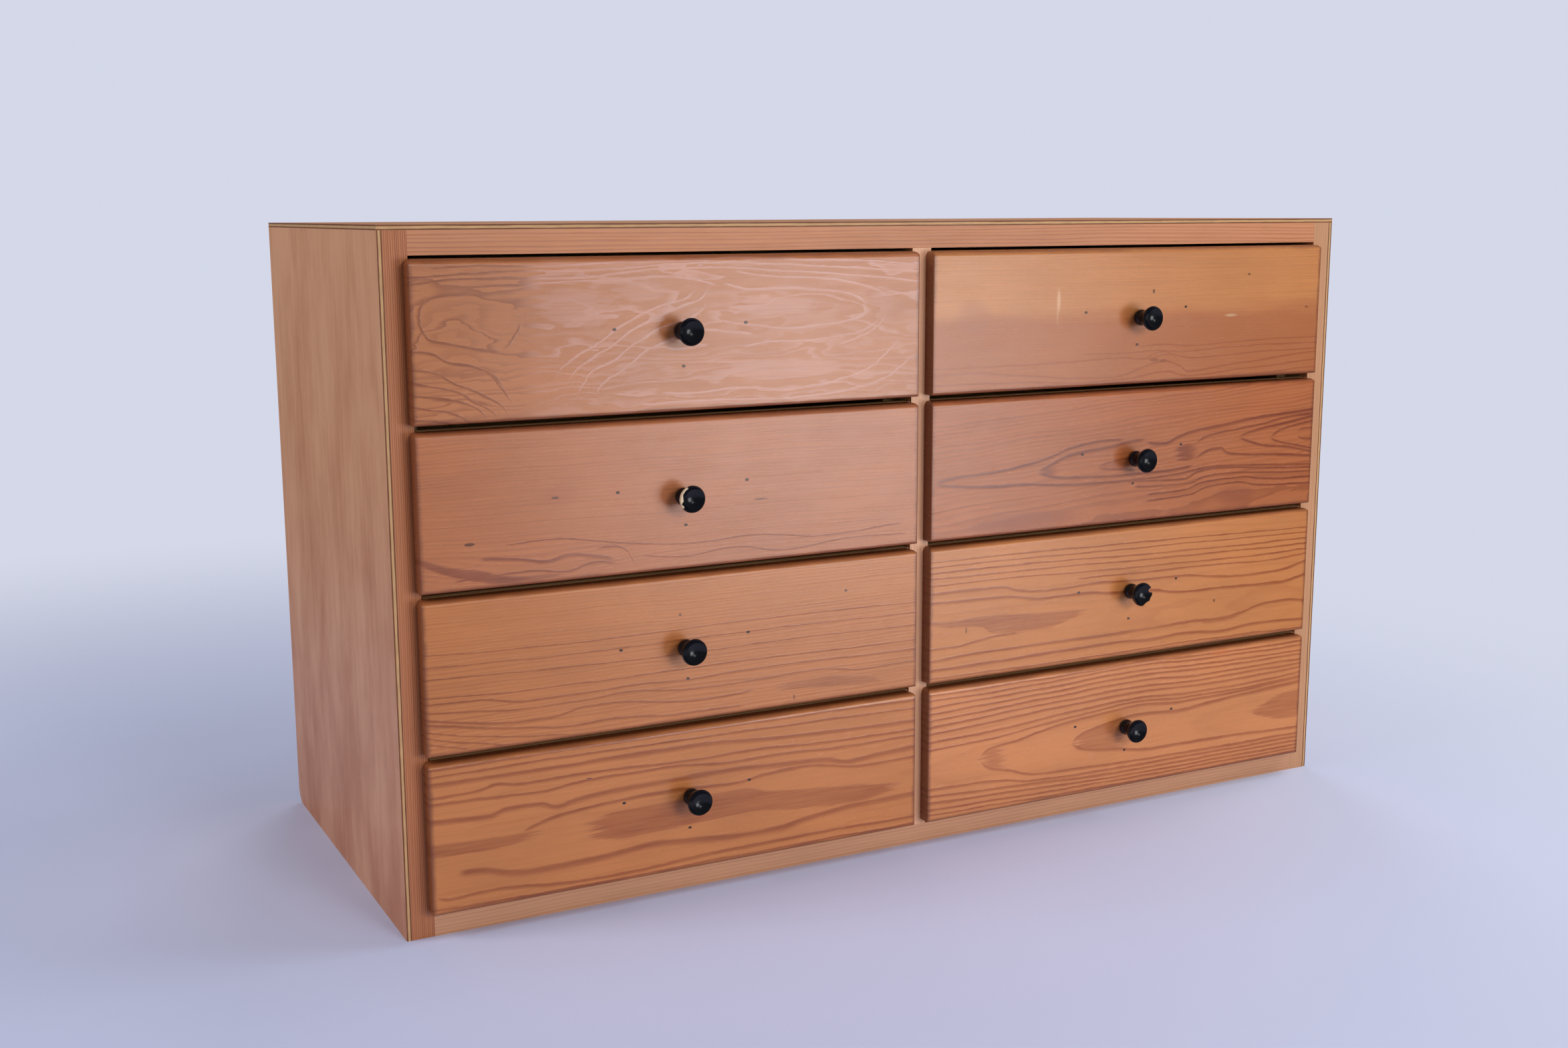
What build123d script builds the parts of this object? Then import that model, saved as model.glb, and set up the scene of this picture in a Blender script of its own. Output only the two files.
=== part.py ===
from build123d import *
import os

# A wide, low chest of eight shallow drawers in two columns of four, for stamps and small parts.
# Thin plywood sides, top and back are nailed over a pine face frame and a lighter rear frame.
# The drawers hang on rebated runners. Each has a lipped front, lapped dovetails at its front
# corners, through dovetails at its back corners, a plywood bottom in grooves and a turned knob.
# Millimetres. X runs to the right, Y to the back, Z up. The origin is at floor level, in the
# middle of the whole object from knob rims to back panel.

# ---- carcass ----
WIDTH = 912.0
CARCASS_DEPTH = 372.0
HEIGHT = 540.0
PLY = 4.0
MEMBER = 18.0              # width of every pine stile, post and top rail
BOTTOM_RAIL_HEIGHT = 16.5
FACE_FRAME_DEPTH = 30.0
REAR_FRAME_DEPTH = 18.0
REAR_CORNER_RADIUS = 14.0  # lower rear corner of the sides
TENON = (8.0, 18.0, 9.0)   # stub tenons of the face frame: thickness, width, length

# ---- drawer fronts ----
ROWS = 4
PITCH = 125.0
FRONT_WIDTH = 429.0
FRONT_HEIGHT = 120.0
LOWEST_FRONT = 20.5        # height of the bottom row's lower edges
LIP = 12.0                 # the part of a front that stands proud of the face frame
TONGUE = 10.0              # the part of a front that goes in between the stiles
UPPER_ROUND = 4.5          # radius along a lip's upper front edge and at its upper corners
LOWER_ROUND = 2.5          # radius along its lower front edge
END_ROUND = 1.2            # radius along its ends and at its lower corners
SET_LEFT = {"left": 2.0, "right": 3.0}  # how far the lips sit left of their opening's middle

# ---- drawer boxes ----
SIDE_GAP = 1.5             # running clearance beside a box
SLIDE_GAP = 0.2            # running clearance between a box and its ledges
BOX_RISE = 3.0             # underside of a box above the lower edge of its front
BOX_HEIGHT = 108.0
BOX_LENGTH = 350.0
BOX_BOARD = 10.0           # thickness of box sides and backs
BACK_DROP = 4.0            # a back stops this far below the sides
GROOVE_RISE = 10.0         # lower face of the drawer bottom above the underside of the sides
GROOVE_DEPTH = 5.0
TAILS = 3                  # dovetails at each corner
TAIL_SLOPE = 1 / 6
TAIL_SHARE = 0.5           # share of the corner's height that the tails take at their roots

# ---- runners ----
LEDGE_WIDTH = 10.0
LEDGE_THICKNESS = 10.0
GUIDE_RISE = 26.0          # the guide beside a box rises this far above its ledge

# ---- knobs ----
KNOB_REACH = 20.0          # rim in front of the drawer's face
RIM_RADIUS = 10.8
FOOT_RADIUS = 5.6
BEAD = (7.1, 2.5)          # radius and height of the bead's widest part; so with each point below
BEAD_END = (6.1, 5.4)
WAIST = (5.7, 8.0)
BELL_START = (7.6, 12.6)
BELL_MIDDLE = (9.6, 15.5)
RIM_START = (10.8, 18.5)
RIM_EDGE = (10.6, 19.4)
RIM_CREST = (10.1, 20.0)
DISH_START = (9.6, 19.6)
DISH_DEPTH = 5.0           # below the rim's crest
TENON_RADIUS = 3.9
TENON_LENGTH = 10.0
GLUE_GAP = 0.1
KNOB_OFFSET = {            # of each knob from the middle of its front, top row first: right, up
    "left": ((-1.5, 2.4), (-2.4, -1.8), (-2.3, 1.0), (0.9, 1.7)),
    "right": ((1.6, -1.0), (0.5, -2.2), (0.1, 1.0), (-0.6, -2.2)),
}
BROKEN_KNOB = ("right", 3)  # column and row of the knob whose rim is broken

# ---- worked out from the sizes above ----
PROUD = LIP + KNOB_REACH
FACE = -(CARCASS_DEPTH - PROUD) / 2          # front plane of the face frame
REAR = FACE + CARCASS_DEPTH
INNER_TOP = HEIGHT - PLY
SKIN = WIDTH / 2 - PLY                       # inner face of the side panels
JAMB = SKIN - MEMBER                         # inner edge of the outer stiles
OPENING = JAMB - MEMBER / 2                  # width of one column between its stiles
COLUMN_MIDDLE = {"left": -(JAMB + MEMBER / 2) / 2, "right": (JAMB + MEMBER / 2) / 2}
REAR_FRAME = (REAR - PLY - REAR_FRAME_DEPTH, REAR - PLY)
BOX_WIDTH = OPENING - 2 * SIDE_GAP
BOX_REAR = FACE + BOX_LENGTH


def board(x, y, z):
    """A rectangular board between pairs of limits on each axis."""
    size = (x[1] - x[0], y[1] - y[0], z[1] - z[0])
    middle = ((x[0] + x[1]) / 2, (y[0] + y[1]) / 2, (z[0] + z[1]) / 2)
    return Pos(*middle) * Box(*size)


def write(name, solids):
    """One STEP file for one node, from one solid or several separate ones."""
    shape = Compound(children=solids) if len(solids) > 1 else solids[0]
    shape.label = name
    export_step(shape, f"parts/{name}.step")


def round_lower_rear(solid):
    """Rounds the lower rear edge of a block that reaches the rear plane."""
    edge = solid.edges().filter_by(Axis.X).group_by(Axis.Z)[0].sort_by(Axis.Y)[-1]
    return fillet(edge, REAR_CORNER_RADIUS)


# ------------------------------------------------------------------ carcass
def side_panel(side):
    """Plywood side; side is -1 for the left one and 1 for the right one."""
    across = sorted((side * SKIN, side * WIDTH / 2))
    return round_lower_rear(board(across, (FACE, REAR), (0, INNER_TOP)))


def top_panel():
    """Plywood top, lying over the side panels and both frames."""
    return board((-WIDTH / 2, WIDTH / 2), (FACE, REAR), (INNER_TOP, HEIGHT))


def back_panel():
    """Plywood back between the sides, stopping where their corner starts to round."""
    return board((-SKIN, SKIN), (REAR - PLY, REAR), (REAR_CORNER_RADIUS, INNER_TOP))


def rail_tenon(side, height_middle):
    """Stub tenon that ties a rail into an outer stile."""
    thickness, width, length = TENON
    y_middle = FACE + FACE_FRAME_DEPTH / 2
    across = sorted((side * JAMB, side * (JAMB + length)))
    y = (y_middle - width / 2, y_middle + width / 2)
    return board(across, y, (height_middle - thickness / 2, height_middle + thickness / 2))


def stile_tenon(z):
    """Stub tenon that ties the centre stile into a rail, between two heights."""
    thickness, width, _ = TENON
    y_middle = FACE + FACE_FRAME_DEPTH / 2
    return board((-thickness / 2, thickness / 2), (y_middle - width / 2, y_middle + width / 2), z)


TOP_RAIL = (INNER_TOP - MEMBER, INNER_TOP)
BOTTOM_RAIL = (0, BOTTOM_RAIL_HEIGHT)
FRAME_Y = (FACE, FACE + FACE_FRAME_DEPTH)
UPPER_STUB = (TOP_RAIL[0], TOP_RAIL[0] + TENON[2])
LOWER_STUB = (BOTTOM_RAIL[1] - TENON[2], BOTTOM_RAIL[1])


def outer_stile(side):
    """Full-height stile at one end of the face frame, mortised for both rails."""
    across = sorted((side * JAMB, side * SKIN))
    stile = board(across, FRAME_Y, (0, INNER_TOP))
    return stile - rail_tenon(side, sum(TOP_RAIL) / 2) - rail_tenon(side, sum(BOTTOM_RAIL) / 2)


def rail(z, stub):
    """Rail between the outer stiles, mortised for the centre stile."""
    middle = sum(z) / 2
    bar = board((-JAMB, JAMB), FRAME_Y, z) + rail_tenon(-1, middle) + rail_tenon(1, middle)
    return bar - stile_tenon(stub)


def centre_stile():
    """Stile between the two columns, tenoned into both rails."""
    bar = board((-MEMBER / 2, MEMBER / 2), FRAME_Y, (BOTTOM_RAIL[1], TOP_RAIL[0]))
    return bar + stile_tenon(UPPER_STUB) + stile_tenon(LOWER_STUB)


def rear_frame():
    """Three posts and two rails that the back panel and the runners are nailed to."""
    low, high = (0, MEMBER), (INNER_TOP - MEMBER, INNER_TOP)
    posts = [
        board((-SKIN, -JAMB), REAR_FRAME, (0, INNER_TOP)),
        board((-MEMBER / 2, MEMBER / 2), REAR_FRAME, (low[1], high[0])),
        board((JAMB, SKIN), REAR_FRAME, (0, INNER_TOP)),
    ]
    rails = [board((-JAMB, JAMB), REAR_FRAME, low), board((-JAMB, JAMB), REAR_FRAME, high)]
    envelope = round_lower_rear(board((-WIDTH / 2, WIDTH / 2), (FACE, REAR), (0, HEIGHT)))
    return [(bar & envelope).solid() for bar in posts + rails]


# ------------------------------------------------------------------ runners
def row_floor(row):
    """Height of the underside of the drawer boxes in a row; row 1 is the top one."""
    return LOWEST_FRONT + PITCH * (ROWS - row) + BOX_RISE


def runner(row, guide, ledge):
    """A rebated strip from face frame to rear frame: its guide and its ledge, each by limits in X."""
    shelf = row_floor(row) - SLIDE_GAP
    y = (FACE + FACE_FRAME_DEPTH, REAR_FRAME[0])
    upright = board(guide, y, (shelf - LEDGE_THICKNESS, shelf + GUIDE_RISE))
    return upright + board(ledge, y, (shelf - LEDGE_THICKNESS, shelf))


def side_runners():
    """One runner at each outer side of every row."""
    strips = []
    for row in range(1, ROWS + 1):
        strips.append(runner(row, (-SKIN, -JAMB), (-SKIN, -JAMB + LEDGE_WIDTH)))
        strips.append(runner(row, (JAMB, SKIN), (JAMB - LEDGE_WIDTH, SKIN)))
    return strips


def centre_runners():
    """One runner with a ledge on both sides between the two drawers of every row."""
    half = MEMBER / 2
    ledge = (-half - LEDGE_WIDTH, half + LEDGE_WIDTH)
    return [runner(row, (-half, half), ledge) for row in range(1, ROWS + 1)]


# ------------------------------------------------------------------ drawers
def tails(x, wide_end, root, z):
    """Dovetails through a board's thickness x, between two heights, from wide end to root in Y."""
    spacing = (z[1] - z[0]) / TAILS
    root_half = spacing * TAIL_SHARE / 2
    wide_half = root_half + abs(wide_end - root) * TAIL_SLOPE
    group = []
    for count in range(TAILS):
        middle = z[0] + spacing * (count + 0.5)
        outline = Polyline(
            (wide_end, middle - wide_half),
            (root, middle - root_half),
            (root, middle + root_half),
            (wide_end, middle + wide_half),
            close=True,
        )
        profile = Plane.YZ.offset(x[0]) * make_face(outline)
        group.append(extrude(profile, x[1] - x[0], dir=(1, 0, 0)))
    return group


class DrawerPlan:
    """The limits of one drawer's pieces, from its column and row."""

    def __init__(self, column, row):
        middle = COLUMN_MIDDLE[column]
        floor = row_floor(row)
        self.floor = floor
        self.left = middle - BOX_WIDTH / 2
        self.right = middle + BOX_WIDTH / 2
        self.left_board = (self.left, self.left + BOX_BOARD)
        self.right_board = (self.right - BOX_BOARD, self.right)
        self.height = (floor, floor + BOX_HEIGHT)
        self.groove = (floor + GROOVE_RISE, floor + GROOVE_RISE + PLY)
        self.back_height = (self.groove[1], floor + BOX_HEIGHT - BACK_DROP)
        self.groove_x = (self.left + BOX_BOARD - GROOVE_DEPTH, self.right - BOX_BOARD + GROOVE_DEPTH)
        self.front_x = middle - SET_LEFT[column]
        self.front_z = (floor - BOX_RISE, floor - BOX_RISE + FRONT_HEIGHT)
        offset = KNOB_OFFSET[column][row - 1]
        self.knob_x = self.front_x + offset[0]
        self.knob_z = sum(self.front_z) / 2 + offset[1]

    def front_tails(self, x):
        """Tails that lap into the back of the front."""
        return tails(x, FACE, FACE + TONGUE, self.height)

    def back_tails(self, x):
        """Tails that go right through the drawer's back."""
        return tails(x, BOX_REAR, BOX_REAR - BOX_BOARD, self.back_height)

    def bottom_space(self):
        """The space that the drawer bottom fills, grooves included."""
        return board(self.groove_x, (FACE + TONGUE - GROOVE_DEPTH, BOX_REAR), self.groove)


def sheet(across, up, radii):
    """A flat rectangle between limits; the radii are for its lower left, lower right, upper left and
    upper right corners."""
    middle = (sum(across) / 2, sum(up) / 2)
    shape = Pos(*middle) * Rectangle(across[1] - across[0], up[1] - up[0])
    corners = [(x, y, 0) for y in up for x in across]
    for corner, radius in zip(corners, radii):
        if radius > 0:
            shape = fillet(shape.vertices().sort_by_distance(corner)[0], radius)
    return shape


def lip_panel(x, z):
    """The part of a front that lies over the face frame: the overlap of its three rounded outlines."""
    y = (FACE - LIP, FACE)
    from_side = Plane.YZ.offset(x[0]) * sheet(y, z, (LOWER_ROUND, 0, UPPER_ROUND, 0))
    from_above = Plane.XY.offset(z[0]) * sheet(x, y, (END_ROUND, END_ROUND, 0, 0))
    facing = Plane((0, FACE - LIP, 0), x_dir=(1, 0, 0), z_dir=(0, -1, 0))
    from_front = facing * sheet(x, z, (END_ROUND, END_ROUND, UPPER_ROUND, UPPER_ROUND))
    bar = extrude(from_side, x[1] - x[0], dir=(1, 0, 0))
    bar = bar & extrude(from_above, z[1] - z[0], dir=(0, 0, 1))
    return bar & extrude(from_front, LIP, dir=(0, 1, 0))


def drawer_front(plan):
    """Lipped front: a rounded panel with a tongue behind it, cut for tails, bottom and knob."""
    lip = lip_panel((plan.front_x - FRONT_WIDTH / 2, plan.front_x + FRONT_WIDTH / 2), plan.front_z)
    tongue = board((plan.left, plan.right), (FACE, FACE + TONGUE), plan.front_z)
    hole = knob_axis(plan) * Pos(0, 0, -TENON_LENGTH / 2)
    hole = hole * Cylinder(TENON_RADIUS + GLUE_GAP, TENON_LENGTH)
    front = lip + tongue - hole - plan.bottom_space()
    return front - plan.front_tails(plan.left_board) - plan.front_tails(plan.right_board)


def drawer_side(plan, x):
    """Box side with tails at both ends and a groove for the bottom."""
    plank = board(x, (FACE, BOX_REAR), plan.height)
    front_pins = board(x, (FACE, FACE + TONGUE), plan.height) - plan.front_tails(x)
    back_pins = board(x, (BOX_REAR - BOX_BOARD, BOX_REAR), plan.back_height) - plan.back_tails(x)
    groove = board(plan.groove_x, (FACE, BOX_REAR), plan.groove)
    return plank - front_pins - back_pins - groove


def drawer_back(plan):
    """Back that stands on the bottom, with pins between the sides' tails."""
    plank = board((plan.left, plan.right), (BOX_REAR - BOX_BOARD, BOX_REAR), plan.back_height)
    return plank - plan.back_tails(plan.left_board) - plan.back_tails(plan.right_board)


def drawer_bottom(plan):
    """Plywood bottom, slid in from behind under the back."""
    return plan.bottom_space().solid()


# ------------------------------------------------------------------ knobs
def knob_axis(plan):
    """Place on the drawer's face where a knob stands, its Z pointing forwards."""
    return Location(Plane((plan.knob_x, FACE - LIP, plan.knob_z), x_dir=(1, 0, 0), z_dir=(0, -1, 0)))


def dish_point(radius):
    """A point of the dish at a radius; the dish is part of a sphere centred on the knob's axis."""
    dish_bottom = KNOB_REACH - DISH_DEPTH
    drop = DISH_START[1] - dish_bottom
    ball = (DISH_START[0] ** 2 + drop ** 2) / (2 * drop)
    return (radius, dish_bottom + ball - (ball ** 2 - radius ** 2) ** 0.5)


def turned_knob():
    """Knob turned in one piece: tenon, foot bead, waist and a bell-shaped head with a dished face."""
    dish_bottom = KNOB_REACH - DISH_DEPTH
    foot = Line((FOOT_RADIUS, 0), (TENON_RADIUS, 0))
    shank = Polyline((TENON_RADIUS, 0), (TENON_RADIUS, -TENON_LENGTH), (0, -TENON_LENGTH))
    bead = ThreePointArc((FOOT_RADIUS, 0), BEAD, BEAD_END)
    neck = ThreePointArc(BEAD_END, WAIST, BELL_START)
    bell = ThreePointArc(BELL_START, BELL_MIDDLE, RIM_START)
    rim = Polyline(RIM_START, RIM_EDGE, RIM_CREST, DISH_START)
    dish = ThreePointArc(DISH_START, dish_point(DISH_START[0] * 0.6), (0, dish_bottom))
    axis_line = Line((0, dish_bottom), (0, -TENON_LENGTH))
    profile = Plane.XZ * make_face([shank, foot, bead, neck, bell, rim, dish, axis_line])
    return revolve(profile, Axis.Z)


def broken_rim(knob):
    """The same knob with a bite out of its rim at the right and slivers snapped off below it."""
    whole = knob - Rot(0, 0, 18) * Pos(RIM_RADIUS - 0.4, 0, KNOB_REACH - 3) * Cylinder(2.5, 10)
    for turn, depth in ((-27, 1.3), (-62, 1.7), (-146, 0.9)):
        sliver = Pos(RIM_RADIUS - depth + 5, 0, KNOB_REACH - 3) * Box(10, 16, 10)
        whole = whole - Rot(0, 0, turn) * sliver
    return whole


def knob(plan, broken):
    """The knob in place on its drawer."""
    turned = broken_rim(turned_knob()) if broken else turned_knob()
    return knob_axis(plan) * turned


def main():
    os.makedirs("parts", exist_ok=True)
    write("left_side_panel", [side_panel(-1)])
    write("right_side_panel", [side_panel(1)])
    write("top_panel", [top_panel()])
    write("back_panel", [back_panel()])
    write("left_stile", [outer_stile(-1)])
    write("centre_stile", [centre_stile()])
    write("right_stile", [outer_stile(1)])
    write("top_rail", [rail(TOP_RAIL, UPPER_STUB)])
    write("bottom_rail", [rail(BOTTOM_RAIL, LOWER_STUB)])
    write("rear_frame", rear_frame())
    write("side_runners", side_runners())
    write("centre_runners", centre_runners())
    for column in ("left", "right"):
        for row in range(1, ROWS + 1):
            plan = DrawerPlan(column, row)
            name = f"drawer_{column}_{row}"
            write(f"{name}_front", [drawer_front(plan)])
            write(f"{name}_left_side", [drawer_side(plan, plan.left_board)])
            write(f"{name}_right_side", [drawer_side(plan, plan.right_board)])
            write(f"{name}_back", [drawer_back(plan)])
            write(f"{name}_bottom", [drawer_bottom(plan)])
            write(f"{name}_knob", [knob(plan, (column, row) == BROKEN_KNOB)])


main()
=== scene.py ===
import bpy
from mathutils import Matrix, Vector


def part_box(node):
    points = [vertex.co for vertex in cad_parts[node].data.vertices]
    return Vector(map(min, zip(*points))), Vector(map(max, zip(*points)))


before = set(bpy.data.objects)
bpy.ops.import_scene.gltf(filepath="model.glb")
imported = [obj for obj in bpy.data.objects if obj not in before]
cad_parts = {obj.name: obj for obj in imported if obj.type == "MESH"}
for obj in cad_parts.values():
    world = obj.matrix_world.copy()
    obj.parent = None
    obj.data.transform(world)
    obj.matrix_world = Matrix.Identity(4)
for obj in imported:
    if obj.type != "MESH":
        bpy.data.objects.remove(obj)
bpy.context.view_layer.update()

# The chest is varnished pine with thin plywood skins. Every board has its own growth rings: rings
# round a pith line that runs along the board, cut by the board's faces, so that the figure on its
# face, its edges and its end grain agrees. Places inside the wood materials are millimetres
# (u along the grain, v across it, w into the board from its outer face).


def srgb(red, green, blue):
    """A colour given as 0 to 255 screen values, as linear light."""
    def linear(value):
        value /= 255
        return value / 12.92 if value <= 0.04045 else ((value + 0.055) / 1.055) ** 2.4
    return (linear(red), linear(green), linear(blue), 1.0)


# ------------------------------------------------------------------ node building
class Tree:
    """One material, with short calls that add nodes to it."""

    def __init__(self, name):
        self.material = bpy.data.materials.new(name)
        self.material.use_nodes = True
        self.nodes = self.material.node_tree.nodes
        self.links = self.material.node_tree.links
        self.nodes.clear()
        self.shader = self.nodes.new("ShaderNodeBsdfPrincipled")
        self.out = self.nodes.new("ShaderNodeOutputMaterial")
        self.links.new(self.shader.outputs["BSDF"], self.out.inputs["Surface"])

    def put(self, socket, value):
        """Links a node output to a socket, or sets the socket's own value."""
        if isinstance(value, bpy.types.NodeSocket):
            self.links.new(value, socket)
        else:
            socket.default_value = value

    def math(self, operation, a, b=0.0, c=0.0):
        node = self.nodes.new("ShaderNodeMath")
        node.operation = operation
        for socket, value in zip(node.inputs, (a, b, c)):
            self.put(socket, value)
        return node.outputs[0]

    def add(self, a, b):
        return self.math("ADD", a, b)

    def sub(self, a, b):
        return self.math("SUBTRACT", a, b)

    def mul(self, a, b):
        return self.math("MULTIPLY", a, b)

    def mul_add(self, a, b, c):
        return self.math("MULTIPLY_ADD", a, b, c)

    def most(self, a, b):
        return self.math("MAXIMUM", a, b)

    def step(self, value, low, high):
        """Eases from 0 at low to 1 at high; low may be above high."""
        node = self.nodes.new("ShaderNodeMapRange")
        node.interpolation_type = "SMOOTHSTEP"
        ends = (high, low, 1.0, 0.0) if low > high else (low, high, 0.0, 1.0)
        self.put(node.inputs["Value"], value)
        for socket, end in zip(("From Min", "From Max", "To Min", "To Max"), ends):
            node.inputs[socket].default_value = end
        return node.outputs[0]

    def plateau(self, value, start, full, still, end):
        """Eases from 0 at start to 1 at full, stays there until still and is back at 0 at end."""
        return self.mul(self.step(value, start, full), self.step(value, end, still))

    def vector(self, x, y, z):
        node = self.nodes.new("ShaderNodeCombineXYZ")
        for socket, value in zip(node.inputs, (x, y, z)):
            self.put(socket, value)
        return node.outputs[0]

    def parts(self, vector):
        node = self.nodes.new("ShaderNodeSeparateXYZ")
        self.put(node.inputs[0], vector)
        return node.outputs[0], node.outputs[1], node.outputs[2]

    def grained(self, point, along, across, seed=0.0):
        """The point in units of a size along the grain and one across it, moved on by a seed."""
        node = self.nodes.new("ShaderNodeVectorMath")
        node.operation = "MULTIPLY_ADD"
        self.put(node.inputs[0], point)
        node.inputs[1].default_value = (1 / along, 1 / across, 1 / across)
        node.inputs[2].default_value = (seed * 1.37, seed * 2.11, seed * 0.73)
        return node.outputs[0]

    def noise(self, point, detail=2.0, roughness=0.5):
        """Noise about zero, mostly between -1 and 1, of a point that is already to scale."""
        node = self.nodes.new("ShaderNodeTexNoise")
        self.put(node.inputs["Vector"], point)
        node.inputs["Scale"].default_value = 1.0
        node.inputs["Detail"].default_value = detail
        node.inputs["Roughness"].default_value = roughness
        return self.mul_add(node.outputs[0], 3.0, -1.5)

    def noise_line(self, value, detail=1.0):
        """Noise about zero along one number."""
        node = self.nodes.new("ShaderNodeTexNoise")
        node.noise_dimensions = "1D"
        self.put(node.inputs["W"], value)
        node.inputs["Scale"].default_value = 1.0
        node.inputs["Detail"].default_value = detail
        return self.mul_add(node.outputs[0], 3.0, -1.5)

    def chance(self, value):
        """A fixed random number from 0 to 1 for each whole number."""
        node = self.nodes.new("ShaderNodeTexWhiteNoise")
        node.noise_dimensions = "1D"
        self.put(node.inputs["W"], value)
        return node.outputs["Value"]

    def curve(self, value, points, span, rise):
        """A smooth curve through (a, b) points; a is within span of zero and b within rise."""
        node = self.nodes.new("ShaderNodeFloatCurve")
        node.mapping.extend = "HORIZONTAL"
        places = [((a / span + 1) / 2, (b / rise + 1) / 2) for a, b in sorted(points)]
        line = node.mapping.curves[0]
        line.points[0].location = places[0]
        line.points[1].location = places[-1]
        for a, b in places[1:-1]:
            line.points.new(a, b)
        for point in line.points:
            point.handle_type = "AUTO_CLAMPED"
        node.mapping.update()
        self.put(node.inputs["Value"], self.mul_add(value, 0.5 / span, 0.5))
        return self.mul_add(node.outputs[0], 2 * rise, -rise)

    def mix(self, share, a, b, blend="MIX"):
        node = self.nodes.new("ShaderNodeMix")
        node.data_type = "RGBA"
        node.blend_type = blend
        colours = [s for s in node.inputs if s.type == "RGBA"]
        self.put(node.inputs[0], share)
        self.put(colours[0], a)
        self.put(colours[1], b)
        return [s for s in node.outputs if s.type == "RGBA"][0]

    def shade(self, colour, amount):
        """The colour times 1 + amount."""
        node = self.nodes.new("ShaderNodeVectorMath")
        node.operation = "SCALE"
        self.put(node.inputs[0], colour[:3] if isinstance(colour, tuple) else colour)
        self.put(node.inputs["Scale"], self.add(amount, 1.0))
        return node.outputs[0]

    def bump(self, height, strength, distance):
        node = self.nodes.new("ShaderNodeBump")
        node.inputs["Strength"].default_value = strength
        node.inputs["Distance"].default_value = distance
        self.put(node.inputs["Height"], height)
        return node.outputs[0]

    def place(self):
        """The point in the shared frame, which moves with the piece, in millimetres."""
        node = self.nodes.new("ShaderNodeVectorMath")
        node.operation = "SCALE"
        self.links.new(self.nodes.new("ShaderNodeTexCoord").outputs["Object"], node.inputs[0])
        node.inputs["Scale"].default_value = 1000.0
        return node.outputs[0]

    def finish(self, colour, roughness, normal):
        self.put(self.shader.inputs["Base Color"], colour)
        self.put(self.shader.inputs["Roughness"], roughness)
        self.put(self.shader.inputs["Normal"], normal)
        return self.material


# ------------------------------------------------------------------ wood
def board_place(tree, middle, order):
    """u, v, w in a board from the shared frame. order names the axes for u, v and w, as in "xzy";
    middle is the point where all three are zero."""
    axes = tree.parts(tree.place())
    return [tree.sub(axes["xyz".index(axis)], middle["xyz".index(axis)]) for axis in order]


def face_middle(node, order, outer="low"):
    """The middle of a node's outer face in millimetres. outer is that face's end of the last
    axis in order."""
    low, high = (corner * 1000 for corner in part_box(node))
    point = (low + high) / 2
    depth = "xyz".index(order[2])
    point[depth] = low[depth] if outer == "low" else high[depth]
    return point


def lump(tree, u, v, x, z, wide, high):
    """Squared distance from a place on the face, in units of an ellipse's half sizes."""
    across = tree.mul_add(u, 1 / wide, -x / wide)
    up = tree.mul_add(v, 1 / high, -z / high)
    return tree.mul_add(across, across, tree.mul(up, up))


def growth(tree, place, rings, seed):
    """Latewood from 0 to 1. rings holds the pith's place, its lean, the rings' width, how they
    wander and the places where they swell out."""
    u, v, w = place
    point = tree.vector(u, v, w)
    lean_across, lean_in = rings.get("lean", (0, 0))
    across = tree.sub(tree.mul_add(u, -lean_across, v), rings["pith"][0])
    depth = tree.sub(tree.mul_add(u, lean_in, rings["pith"][1]), w)
    reach = tree.math("SQRT", tree.mul_add(across, across, tree.mul(depth, depth)))
    for x, z, wide, high, height in rings.get("swells", ()):
        fall = tree.math("EXPONENT", tree.mul(lump(tree, u, v, x, z, wide, high), -1.0))
        reach = tree.mul_add(fall, height, reach)
    amount, length, width = rings.get("wave", (3, 120, 26))
    reach = tree.mul_add(tree.noise(tree.grained(point, length, width, seed)), amount, reach)
    fray = tree.noise(tree.grained(point, 12, 1.4, seed + 5))
    reach = tree.mul_add(fray, rings.get("fray", 0.25), reach)
    count = tree.mul(reach, 1 / rings["ring"])
    uneven = tree.noise_line(tree.mul_add(count, 0.6, seed))
    count = tree.mul_add(uneven, rings.get("uneven", 0.3), count)
    part = tree.math("FRACT", count)
    low, high = rings.get("band", (0.4, 0.95))
    late = tree.mul(tree.step(part, low, high), tree.step(part, 1.0, 1.0 - rings.get("edge", 0.07)))
    weak = rings.get("weak", 0.35)
    own = tree.mul_add(tree.chance(tree.math("FLOOR", count)), 1 - weak, weak)
    return tree.mul(late, own)


SPAN, RISE = 225.0, 75.0   # limits of the points that figure lines may be drawn through


def within(tree, value, start, end, fade):
    """1 between two limits, easing off over a length; a limit at a board's end doesn't ease."""
    inside = 1.0
    if start > -SPAN + 12:
        inside = tree.step(value, start - 1, start + fade)
    if end < SPAN - 12:
        inside = tree.mul(inside, tree.step(value, end + 1, end - fade))
    return inside


def stroke(tree, along, across, half, points, limits=(SPAN, RISE)):
    """A latewood line of a half thickness that runs through points, crisp on one side only."""
    off = tree.sub(across, tree.curve(along, points, *limits))
    mask = tree.mul(tree.step(off, half * 1.3, half * 0.2), tree.step(off, half * -2.6,
                                                                      half * -0.1))
    return tree.mul(mask, within(tree, along, points[0][0], points[-1][0], 7))


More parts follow.
